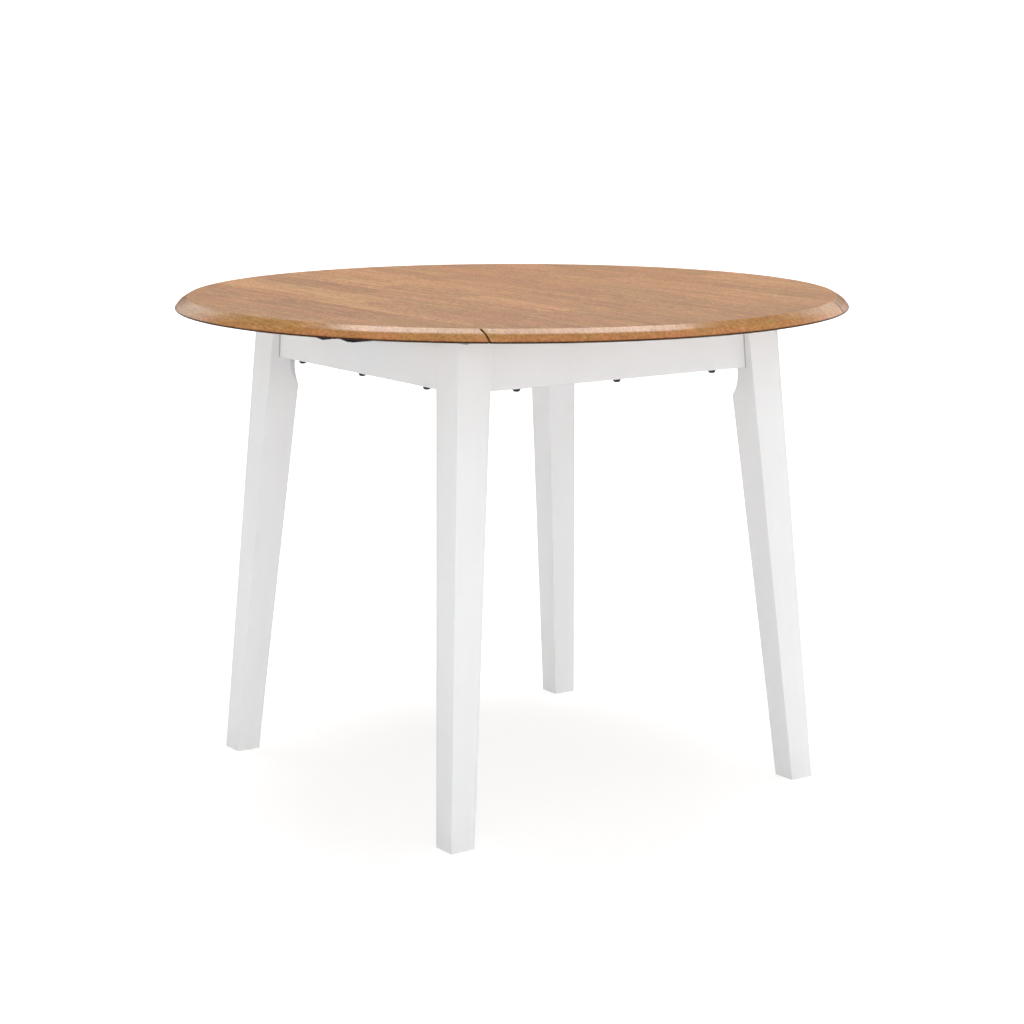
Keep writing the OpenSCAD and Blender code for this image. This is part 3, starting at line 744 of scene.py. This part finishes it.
def cap_directions(loop, radius, radial, upward, way):
    """Inward: within the cut, against the outline's own normal. Outward: along X by way, and
    along Y so that each point stays on its circle, which is way x y / (r squared - x squared)."""
    x, y = loop[:, 0], loop[:, 1]
    inward = np.stack([np.zeros_like(y), -radial * np.sign(y), -upward], axis=-1)
    inward /= np.linalg.norm(inward, axis=1, keepdims=True)
    along_circle = -way * x * y / (radius ** 2 - x ** 2)
    outward = np.stack([np.full_like(y, way), along_circle, np.zeros_like(y)], axis=-1)
    return inward, outward


# %% Centre panel
ACROSS = 121


def centre_panel_mesh():
    """Loop over the section at each x: y = -root(r2 - x2) going down, then +root coming back."""
    swing = np.linspace(-1.0, 1.0, ACROSS) * math.asin((PANEL_HALF_WIDTH - RIM_EASE) / TOP_RADIUS)
    x = TOP_RADIUS * np.sin(swing)
    there_and_back = np.r_[np.arange(len(edge_radius)), np.arange(len(edge_radius))[::-1]]
    radius, height = edge_radius[there_and_back], edge_height[there_and_back]
    side = np.r_[-np.ones(len(edge_radius)), np.ones(len(edge_radius))]
    y = side[:, None] * np.sqrt(radius[:, None] ** 2 - x[None, :] ** 2)
    grid = np.stack([np.broadcast_to(x, y.shape), y, np.broadcast_to(height[:, None], y.shape)], axis=-1)
    points = grid.reshape(-1, 3)
    faces = grid_faces(len(radius), ACROSS, wrap=True)
    for column, way in [(0, -1.0), (ACROSS - 1, 1.0)]:
        loop = grid[:, column]
        inward, outward = cap_directions(loop, radius, edge_out[there_and_back], edge_up[there_and_back], way)
        base = np.arange(len(radius)) * ACROSS + column
        extra, more = eased_cap(loop, edge_ease[there_and_back], inward, outward, len(points), base)
        points = np.vstack([points, extra])
        faces += more
    return points, faces


make_piece("centre_panel_oak", *centre_panel_mesh(), oak.material, "frame", "oiled_oak", "centre_panel")

# %% Leaves
AROUND = 121


def leaf_mesh(way):
    """Arc t of radius r: (r cos(w t), r sin(w t)), where cos(w) is the seam's distance over r.
    The first and last rows run straight along the seam, and close the flat faces."""
    seam = LEAF_START + RIM_EASE
    widest = np.arccos(seam / edge_radius)[:, None]
    sweep = widest * np.linspace(-1.0, 1.0, AROUND)[None, :]
    rim = np.stack([edge_radius[:, None] * np.cos(sweep), edge_radius[:, None] * np.sin(sweep),
                    np.broadcast_to(edge_height[:, None], sweep.shape)], axis=-1)
    first_row, last_row = rim[0].copy(), rim[-1].copy()
    first_row[:, 0] = seam
    last_row[:, 0] = seam
    grid = np.concatenate([first_row[None], rim, last_row[None]])
    rows = len(grid)
    index = np.arange(rows * AROUND).reshape(rows, AROUND)
    base = np.r_[index[0, :-1], index[1:-1, -1], index[-1, :0:-1], index[-2:0:-1, 0]]
    owner = np.r_[np.zeros(AROUND - 1, int), np.arange(rows - 2), np.full(AROUND - 1, rows - 3),
                  np.arange(rows - 3, -1, -1)]
    points = grid.reshape(-1, 3)
    loop = points[base]
    inward, outward = cap_directions(loop, edge_radius[owner], edge_out[owner], edge_up[owner], -1.0)
    extra, more = eased_cap(loop, edge_ease[owner], inward, outward, len(points), base)
    return np.vstack([points, extra]) * [way, way, 1.0], grid_faces(rows, AROUND) + more


make_piece("right_leaf_oak", *leaf_mesh(1.0), oak.material, "right_drop_leaf", "oiled_oak", "right_leaf")
make_piece("left_leaf_oak", *leaf_mesh(-1.0), oak.material, "left_drop_leaf", "oiled_oak", "left_leaf")

# %% [markdown]
# ## Legs
# Each leg is square, tapers down and leans outwards, with its edges rounded by the sander.
# Behind the aprons its inner corner is sawn to a flat, which ends in a short curve. A
# stretched box would do for the taper, but not for that curve. So at every height the
# section is one closed loop: a quarter circle at each corner, with the inner corner split
# in two as far apart as the flat is wide. The leg is a stack of loops.

# %% Leg sizes
FLAT_CUT = 0.0205
FLAT_DEPTH = FLAT_CUT / math.sqrt(2.0)
FLAT_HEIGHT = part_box("front_apron")[0].z - 0.004
RUNOUT = 0.044
EDGE_ROUND = 0.0010
FOOT_EASE = 0.0010
CORNER_STEPS = 5
LEG_HEIGHTS = np.unique(np.r_[np.linspace(0.0, FLAT_HEIGHT - RUNOUT, 12),
                              np.linspace(FLAT_HEIGHT - RUNOUT, FLAT_HEIGHT, 25),
                              np.linspace(FLAT_HEIGHT, UNDER_HEIGHT, 6)])
print("flat sawn from", round(FLAT_HEIGHT, 4), "up, run-out", RUNOUT)


def leaning(at_floor, under_top, height):
    """Place in X or Y of a leg's plane: a straight line from the floor to the top."""
    return at_floor + (under_top - at_floor) * (height / UNDER_HEIGHT)


def flat_depth_at(height):
    """Depth of the sawn flat: none below the run-out, full above it, a circle's arc between."""
    arc_radius = (RUNOUT ** 2 + FLAT_DEPTH ** 2) / (2.0 * FLAT_DEPTH)
    below = np.clip(FLAT_HEIGHT - height, 0.0, RUNOUT)
    return FLAT_DEPTH - (arc_radius - np.sqrt(arc_radius ** 2 - below ** 2))


# %% Leg surface
# Each corner: whether it is outside in X and in Y, its share of the parting in X and in Y,
# and the angles at which its arc starts and stops.
LEG_CORNERS = [(1, 1, 0, 0, 0, 90), (0, 1, 0, 0, 90, 180), (0, 0, 0, 1, 180, 225),
               (0, 0, 1, 0, 225, 270), (1, 0, 0, 0, 270, 360)]


def leg_loops():
    """Loop at height z: corner centre (in or out, in or out), plus EDGE_ROUND (cos a, sin a)."""
    outer = leaning(FOOT_OUT, HEAD_OUT, LEG_HEIGHTS)
    inner = leaning(FOOT_IN, HEAD_IN, LEG_HEIGHTS)
    rounding = (2.0 - math.sqrt(2.0)) * EDGE_ROUND
    parting = np.clip(flat_depth_at(LEG_HEIGHTS) * math.sqrt(2.0) - rounding, 0.0, None)
    loops = []
    for out_x, out_y, part_x, part_y, start, stop in LEG_CORNERS:
        angle = np.radians(np.linspace(start, stop, CORNER_STEPS))[None, :]
        base_x = (outer - EDGE_ROUND if out_x else inner + EDGE_ROUND + part_x * parting)[:, None]
        base_y = (outer - EDGE_ROUND if out_y else inner + EDGE_ROUND + part_y * parting)[:, None]
        x, y = base_x + EDGE_ROUND * np.cos(angle), base_y + EDGE_ROUND * np.sin(angle)
        loops.append(np.stack([x, y, np.broadcast_to(LEG_HEIGHTS[:, None], x.shape)], axis=-1))
    return np.concatenate(loops, axis=1)


def leg_mesh(degrees):
    """The stack of loops, on a sole whose edge is eased: it shrinks by FOOT_EASE on each side."""
    loops = leg_loops()
    middle = loops[0].mean(axis=0)
    sole = []
    for inset, rise in [(FOOT_EASE, 0.0), (FOOT_EASE * 0.3, FOOT_EASE * 0.3)]:
        shrink = 1 - 2 * inset / FOOT_SIDE
        sole.append((loops[0] - middle) * [shrink, shrink, 0] + middle + [0, 0, rise])
    loops[0] += (loops[1] - loops[0]) * FOOT_EASE / (LEG_HEIGHTS[1] - LEG_HEIGHTS[0])
    grid = np.concatenate([np.stack(sole), loops]).transpose(1, 0, 2)
    return turned(grid.reshape(-1, 3), degrees), tube_faces(*grid.shape[:2])


for leg, degrees in [("back_right_leg", 0), ("back_left_leg", 90),
                     ("front_left_leg", 180), ("front_right_leg", 270)]:
    make_piece(leg + "_painted", *leg_mesh(degrees), paint.material, "frame", "white_paint", leg)

# %% [markdown]
# ## Aprons
# An apron is a plain board between two legs. Its ends are cut to the legs' lean and its
# lower edges are sanded round. A box's ends would stand upright and leave a gap, so the
# section, one loop of corner arcs, is carried along between ends that follow the legs.

# %% Aprons
APRON_ROUND = 0.0016
TOP_EDGE_ROUND = APRON_ROUND / 4
APRON_ARC_STEPS = 7
APRON_STEPS = 9
# Each corner: X, Z, the ways from it into the wood, its rounding, and its arc's angles.
APRON_CORNERS = [(APRON_OUT, APRON_LOW, -1, 1, APRON_ROUND, 270, 360),
                 (APRON_OUT, UNDER_HEIGHT, -1, -1, TOP_EDGE_ROUND, 0, 90),
                 (APRON_IN, UNDER_HEIGHT, 1, -1, TOP_EDGE_ROUND, 90, 180),
                 (APRON_IN, APRON_LOW, 1, 1, APRON_ROUND, 180, 270)]


def apron_mesh(degrees):
    """Corner centre plus its rounding times (cos a, sin a) in X and Z; y runs from leg to leg."""
    parts = []
    for x, z, way_x, way_z, bend, start, stop in APRON_CORNERS:
        angle = np.radians(np.linspace(start, stop, APRON_ARC_STEPS))
        parts.append(np.stack([x + bend * (way_x + np.cos(angle)), z + bend * (way_z + np.sin(angle))]))
    x, z = np.hstack(parts)[:, :, None]
    y = leaning(FOOT_IN, HEAD_IN, z) * np.linspace(-1.0, 1.0, APRON_STEPS)[None, :]
    grid = np.stack(np.broadcast_arrays(x, y, z), axis=-1)
    return turned(grid.reshape(-1, 3), degrees), tube_faces(*grid.shape[:2])


for apron, degrees in [("right_apron", 0), ("back_apron", 90), ("left_apron", 180), ("front_apron", 270)]:
    make_piece(apron + "_painted", *apron_mesh(degrees), paint.material, "frame", "white_paint", apron)

# %% [markdown]
# ## Bolts under the aprons
# Three bolts go up through each apron into the top. Their heads are low and round, as a
# button head is, with a six-sided socket for a key, so all that shows is a dark dome below
# each apron. A bolt is one outline of radius against height, spun round. The Screw modifier
# spins too, but would make the socket round. Here the radius in the socket's rows follows a
# hexagon, which is its flat's distance over the cosine of the angle from the nearest flat.

# %% Bolt sizes
BOLT_RADIUS = 0.003
HEAD_RADIUS = 0.006
HEAD_HEIGHT = 0.0046
HEAD_RIM = 0.0005
HEAD_BACK_EASE = 0.0002
CROWN_FLAT = 0.0033
CROWN_STEPS = 9
TIP_CHAMFER = 0.0008
SOCKET_FLAT = 0.002
SOCKET_DEPTH = 0.0024
SOCKET_FLARE = 1.08
SOCKET_LEAD = 0.0002
BOLT_FROM_LEG = 0.053
SPIN_STEPS = 48
BOLT_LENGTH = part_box("top_bolts")[1].z - APRON_LOW
BOLT_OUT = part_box("top_bolts")[1].x - HEAD_RADIUS
print("bolts reach", round(BOLT_LENGTH, 4), "up from the aprons' edge")

# %% Bolts
def bolt_grid():
    """Point at angle a on outline row k: (r_k(a) cos a, r_k(a) sin a, z_k)."""
    bend = np.radians(np.linspace(0.0, 90.0, CROWN_STEPS))
    crown = np.stack([CROWN_FLAT + (HEAD_RADIUS - CROWN_FLAT) * np.sin(bend),
                      -HEAD_RIM - (HEAD_HEIGHT - HEAD_RIM) * np.cos(bend)], axis=1)
    shank = [[HEAD_RADIUS - HEAD_BACK_EASE, 0.0], [BOLT_RADIUS, 0.0],
             [BOLT_RADIUS, BOLT_LENGTH - TIP_CHAMFER], [BOLT_RADIUS - TIP_CHAMFER, BOLT_LENGTH]]
    outline = np.vstack([crown, shank])
    angle = np.linspace(0.0, 2.0 * math.pi, SPIN_STEPS, endpoint=False)[:, None]
    hexagon = SOCKET_FLAT / np.cos((angle + math.pi / 6) % (math.pi / 3) - math.pi / 6)
    radius = np.hstack([hexagon, hexagon, hexagon * SOCKET_FLARE,
                        np.broadcast_to(outline[:, 0], (SPIN_STEPS, len(outline)))])
    height = np.r_[SOCKET_DEPTH - HEAD_HEIGHT, SOCKET_LEAD - HEAD_HEIGHT, -HEAD_HEIGHT, outline[:, 1]]
    return np.stack(np.broadcast_arrays(radius * np.cos(angle), radius * np.sin(angle), height), axis=-1)


def bolts_mesh():
    """The same bolt at three places on each of four sides, a quarter turn apart."""
    bolt = bolt_grid()
    rows, columns = bolt.shape[:2]
    end = HEAD_IN - BOLT_FROM_LEG
    side = [[BOLT_OUT, y, APRON_LOW] for y in (-end, 0.0, end)]
    places = np.vstack([turned(side, 90 * quarter) for quarter in range(4)])
    points = (places[:, None] + bolt.reshape(1, -1, 3)).reshape(-1, 3)
    faces = [tube_faces(rows, columns, first=number * rows * columns) for number in range(len(places))]
    return points, sum(faces, [])


make_piece("top_bolts_turned", *bolts_mesh(), dark_steel, "frame", "dark_bolts", "top_bolts", crisp=35.0)

# %% [markdown]
# ## Floor
# The table stands on a pale floor. Stronger lamps would turn it white, but would bleach
# the table too. So emission that only the camera's rays see lifts it to plain white a few
# metres away, and nearly so under the table, where its shadow stays.

# %% Floor
FLOOR_HALF = 40.0
FLOOR_TONE = 0.66
FLOOR_MOTTLE = 0.005
FLOOR_ROUGHNESS = 0.9
NEAR_LIFT = 0.605
LIFT_REACH = (1.2, 4.0)
WHITE = (1.0, 1.0, 1.0, 1.0)
floor_mesh = bpy.data.meshes.new("floor")
floor_mesh.from_pydata([(-FLOOR_HALF, -FLOOR_HALF, 0), (FLOOR_HALF, -FLOOR_HALF, 0),
                        (FLOOR_HALF, FLOOR_HALF, 0), (-FLOOR_HALF, FLOOR_HALF, 0)], [], [(0, 1, 2, 3)])
floor = bpy.data.objects.new("floor", floor_mesh)
scene.collection.objects.link(floor)
ground = Finish("pale_floor")
mottle = ground.noise(ground.place, (1.5, 1.5, 1.5), 2.0)
ground.shade("Base Color", ground.ramp(mottle, [(0.3, *[FLOOR_TONE - FLOOR_MOTTLE] * 3),
                                                (0.7, *[FLOOR_TONE + FLOOR_MOTTLE] * 3)]))
ground.shade("Roughness", FLOOR_ROUGHNESS)
distance = ground.vector("LENGTH", ground.place, output="Value")
seen = ground.node("ShaderNodeLightPath").outputs["Is Camera Ray"]
lift = ground.span(distance, *LIFT_REACH, NEAR_LIFT, 1.0)
ground.shade("Emission Strength", ground.math("MULTIPLY", seen, lift))
ground.shade("Emission Color", WHITE)
floor_mesh.materials.append(ground.material)
print("floor tone", FLOOR_TONE)

# %% [markdown]
# ## The room's light
# The room itself glows: a bright strip low down, as from a lit white floor and skirting, a
# wall and a ceiling that are duller, and soft light from the left and from the front. A
# ring of lamps could do this, but each would leave its own edge in the shadows. Instead, a
# direction's height above level picks strip, wall or ceiling, and how nearly it points at
# a side gives that side's light.

# %% Room
LOW_LIGHT = 8.0
LOW_EDGE = (0.02, 0.14)
WALL_LIGHT = 0.4
CEILING_LIGHT = 0.38
WALL_EDGE = (0.34, 0.50)
# Each side: the heading and the climb of its light, in degrees, and how strong it is.
LEFT_SIDE = (190.0, 40.0, 0.03)
FRONT_SIDE = (-80.0, 40.0, 0.47)
SIDE_EDGE = (0.25, 0.95)
world = bpy.data.worlds.new("white_room")
scene.world = world
world.use_nodes = True
room = Graph(world.node_tree)
way = room.node("ShaderNodeTexCoord").outputs["Generated"]
up = room.split(way)[2]


def toward(*heading_and_climb):
    """How nearly a direction points that way: the cosine of the angle between the two."""
    return room.vector("DOT_PRODUCT", way, direction(*heading_and_climb), output="Value")


def soft_side(heading, climb, strength):
    """Light from one side of the room: strongest along (heading, climb), gone 75 degrees away."""
    return room.span(toward(heading, climb), *SIDE_EDGE, 0.0, strength)


wall = room.span(up, *WALL_EDGE, 1.0, 0.0)
upper = room.math("MULTIPLY_ADD", wall, WALL_LIGHT - CEILING_LIGHT, CEILING_LIGHT)
low = room.span(up, *LOW_EDGE, LOW_LIGHT, 0.0)
sides = room.math("ADD", soft_side(*LEFT_SIDE), soft_side(*FRONT_SIDE))
lit = room.math("ADD", upper, room.math("ADD", low, sides))
print("room light", LOW_LIGHT, "low down,", CEILING_LIGHT, "above")

# %% [markdown]
# ## What shiny parts mirror
# The oiled top mirrors what stands behind it, so that gets its own picture, which only
# glossy and transmitted rays see: a dark room with a broad window beyond the table. Its
# bright band puts one long highlight on the bevel. The band is dimmer in the middle, and
# low panes at its sides light the rim where it curves away. To the camera's own rays the
# room is plain white.

# %% Mirrored window
# The band: (height of a direction above level, from 0 to 1, and the light there).
WINDOW_BAND = [(0.0, 0.03), (0.11, 0.14), (0.17, 0.55), (0.24, 1.25), (0.44, 1.25), (0.52, 0.04)]
WINDOW_EDGE = (0.55, 0.74)
WINDOW_CLIMB = 8.05
MIDDLE_LIGHT = 0.70
MIDDLE_EDGE = (0.925, 0.975)
LOW_PANES = 0.90
PANE_EDGE = (0.925, 0.960)
PANE_FOOT = (0.00, 0.05)
PANE_HEAD = (0.30, 0.40)
MIRROR_CEILING = 0.03
middle = toward(CAMERA_HEADING, WINDOW_CLIMB)
band = room.ramp(up, [(height, light, light, light) for height, light in WINDOW_BAND])
band = room.math("MULTIPLY", band, room.span(middle, *MIDDLE_EDGE, 1.0, MIDDLE_LIGHT))
panes = room.math("MULTIPLY", room.span(middle, *PANE_EDGE, LOW_PANES, 0.0), room.span(up, *PANE_FOOT))
panes = room.math("MULTIPLY", panes, room.span(up, *PANE_HEAD, 1.0, 0.0))
window = room.span(toward(CAMERA_HEADING), *WINDOW_EDGE)
mirror_lit = room.math("MULTIPLY_ADD", room.math("MAXIMUM", band, panes), window, MIRROR_CEILING)
rays = room.node("ShaderNodeLightPath").outputs
mirrored = room.math("MAXIMUM", rays["Is Glossy Ray"], rays["Is Transmission Ray"])
chosen = room.node("ShaderNodeMix", {"Factor": mirrored, "A": lit, "B": mirror_lit}).outputs["Result"]
backing = room.tree.nodes["Background"]
room.feed(backing.inputs["Strength"], room.math("MAXIMUM", chosen, rays["Is Camera Ray"]))
backing.inputs["Color"].default_value = WHITE
print("room graph has", len(room.tree.nodes), "nodes")

# %% [markdown]
# ## The lamp
# One long soft lamp hangs over the table, across the camera's view. It lights the top and
# the floor evenly and leaves a soft shadow. A surface emits radiance times area times pi
# watts, so the lamp is given by its radiance, and a change of size keeps its brightness.

# %% Lamp
LAMP_PLACE = (0.35, 0.49, 3.0)
LAMP_WIDTH = 2.5
LAMP_DEPTH = 0.8
LAMP_RADIANCE = 8.2
LAMP_HEADING = -35.231
light = bpy.data.lights.new("overhead_lamp", "AREA")
light.shape = "RECTANGLE"
light.size = LAMP_WIDTH
light.size_y = LAMP_DEPTH
light.energy = LAMP_RADIANCE * LAMP_WIDTH * LAMP_DEPTH * math.pi
lamp = bpy.data.objects.new("overhead_lamp", light)
scene.collection.objects.link(lamp)
stand(lamp, (direction(LAMP_HEADING), direction(LAMP_HEADING + 90.0), direction(0.0, 90.0)), LAMP_PLACE)
scene.view_settings.view_transform = "Standard"
print("lamp power", round(light.energy, 1), "W")
